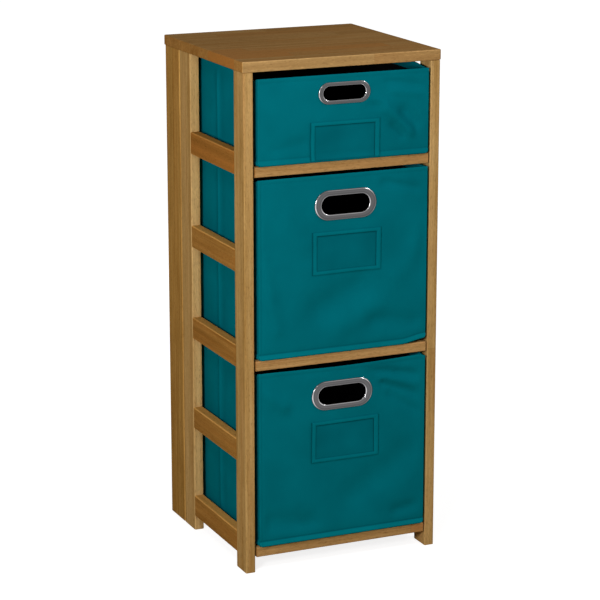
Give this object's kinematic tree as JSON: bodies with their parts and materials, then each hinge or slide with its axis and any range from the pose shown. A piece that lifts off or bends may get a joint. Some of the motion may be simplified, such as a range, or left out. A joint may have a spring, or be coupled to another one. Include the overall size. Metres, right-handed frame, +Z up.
{
  "type": "folding bookcase with fabric bins",
  "caption": "Narrow folding wooden bookcase with ladder sides, hinged top and shelves, and pull-out fabric bins with oval hand-hole grommets.",
  "frame": {"origin": "on the floor under the middle of the whole object, grommets and hinge barrels counted", "axes": "+Z up, -Y out of the front where the bins pull out, +X to the right seen from the front"},
  "size_m": [0.356, 0.3592, 0.864],
  "materials": {
    "post_wood": "satin clear coat over medium brown stain",
    "rung_wood": "satin clear coat over medium brown stain",
    "top_wood": "satin clear coat over medium brown stain",
    "steel": "zinc plated",
    "chrome": "polished, nickel plated",
    "teal_fabric": "matte woven canvas",
    "pocket_fabric": "matte woven canvas",
    "black_fabric": "matte non-woven lining over board"
  },
  "bodies": {
    "frame": {"left_back_stile": "post_wood", "left_front_post": "post_wood", "left_lower_hinge_post_leaf": "steel", "left_lower_hinge_stile_leaf": "steel", "left_rear_post": "post_wood", "left_rung_1": "rung_wood", "left_rung_2": "rung_wood", "left_rung_3": "rung_wood", "left_rung_4": "rung_wood", "left_rung_5": "rung_wood", "left_top_hinge_rail_leaf": "steel", "left_upper_hinge_post_leaf": "steel", "left_upper_hinge_stile_leaf": "steel", "lower_back_rail": "rung_wood", "lower_shelf": "post_wood", "lower_shelf_left_pivot_pin": "steel", "lower_shelf_left_rest_pin": "steel", "lower_shelf_right_pivot_pin": "steel", "lower_shelf_right_rest_pin": "steel", "middle_back_rail": "rung_wood", "middle_shelf": "post_wood", "middle_shelf_left_pivot_pin": "steel", "middle_shelf_left_rest_pin": "steel", "middle_shelf_right_pivot_pin": "steel", "middle_shelf_right_rest_pin": "steel", "right_back_stile": "post_wood", "right_front_post": "post_wood", "right_lower_hinge_post_leaf": "steel", "right_lower_hinge_stile_leaf": "steel", "right_rear_post": "post_wood", "right_rung_1": "rung_wood", "right_rung_2": "rung_wood", "right_rung_3": "rung_wood", "right_rung_4": "rung_wood", "right_rung_5": "rung_wood", "right_top_hinge_rail_leaf": "steel", "right_upper_hinge_post_leaf": "steel", "right_upper_hinge_stile_leaf": "steel", "top_back_rail": "rung_wood", "upper_back_rail": "rung_wood", "upper_shelf": "post_wood", "upper_shelf_left_pivot_pin": "steel", "upper_shelf_left_rest_pin": "steel", "upper_shelf_right_pivot_pin": "steel", "upper_shelf_right_rest_pin": "steel"},
    "top": {"left_top_hinge_panel_leaf": "steel", "right_top_hinge_panel_leaf": "steel", "top_panel": "top_wood"},
    "top_bin": {"top_bin_base_board": "black_fabric", "top_bin_grommet": "chrome", "top_bin_label_pocket": "pocket_fabric", "top_bin_shell": "teal_fabric"},
    "middle_bin": {"middle_bin_base_board": "black_fabric", "middle_bin_grommet": "chrome", "middle_bin_label_pocket": "pocket_fabric", "middle_bin_shell": "teal_fabric"},
    "bottom_bin": {"bottom_bin_base_board": "black_fabric", "bottom_bin_grommet": "chrome", "bottom_bin_label_pocket": "pocket_fabric", "bottom_bin_shell": "teal_fabric"}
  },
  "joints": [
    {"name": "top_lift", "type": "hinge", "parent": "frame", "child": "top", "pos_m": [0, 0.17717, 0.84635], "axis": [-1, 0, 0], "range_deg": [0, 95]},
    {"name": "top_bin_slide", "type": "slide", "parent": "frame", "child": "top_bin", "axis": [0, -1, 0], "range_m": [0, 0.28]},
    {"name": "middle_bin_slide", "type": "slide", "parent": "frame", "child": "middle_bin", "axis": [0, -1, 0], "range_m": [0, 0.28]},
    {"name": "bottom_bin_slide", "type": "slide", "parent": "frame", "child": "bottom_bin", "axis": [0, -1, 0], "range_m": [0, 0.28]}
  ]
}
